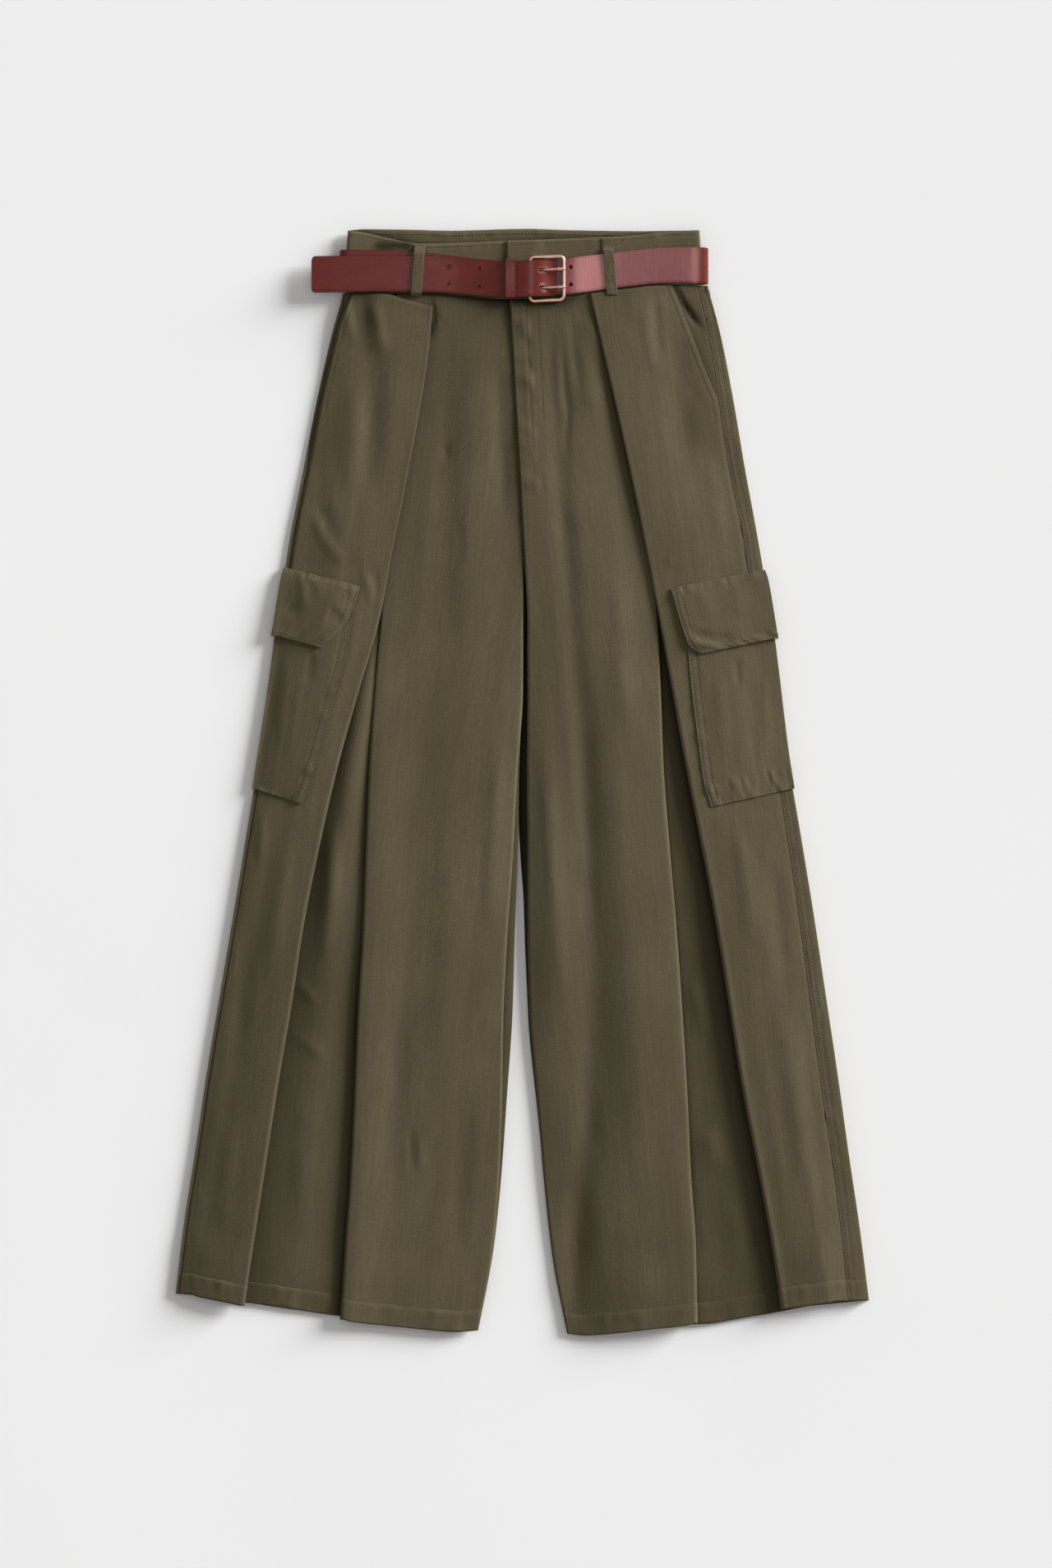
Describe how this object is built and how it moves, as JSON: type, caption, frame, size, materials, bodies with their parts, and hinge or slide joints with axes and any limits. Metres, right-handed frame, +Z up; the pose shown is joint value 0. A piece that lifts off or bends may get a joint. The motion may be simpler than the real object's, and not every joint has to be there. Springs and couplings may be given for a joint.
{
  "type": "wide-leg cargo trousers with belt",
  "caption": "Wide-leg cotton twill cargo trousers laid out flat and face up, with box-pleated fronts, side flap pockets and a leather belt in a double-prong buckle.",
  "frame": {"origin": "on the surface the trousers lie on, under the middle of their box", "axes": "+Z up, out of the front of the garment; +Y from the hems to the waist; +X to the right of somebody looking down at the front"},
  "size_m": [0.6912, 1.1012, 0.0207],
  "materials": {
    "twill": "matte olive cotton twill, washed, 1 mm thick",
    "belt_leather": "smooth reddish-brown leather with a soft gloss",
    "rose_gold": "polished rose gold plate"
  },
  "bodies": {
    "root": {"front_left": "twill", "front_right": "twill", "back_left": "twill", "back_right": "twill", "pocket_facing_left": "twill", "pocket_facing_right": "twill", "cargo_pocket_left": "twill", "cargo_pocket_right": "twill", "cargo_flap_left": "twill", "cargo_flap_right": "twill", "waistband": "twill", "belt_loop_front_left": "twill", "belt_loop_front_right": "twill", "belt_loop_back_left": "twill", "belt_loop_back_centre": "twill", "belt_loop_back_right": "twill", "belt": "belt_leather", "belt_fold": "belt_leather", "belt_keeper": "belt_leather", "buckle_frame": "rose_gold", "buckle_prong_upper": "rose_gold", "buckle_prong_lower": "rose_gold"}
  },
  "joints": []
}
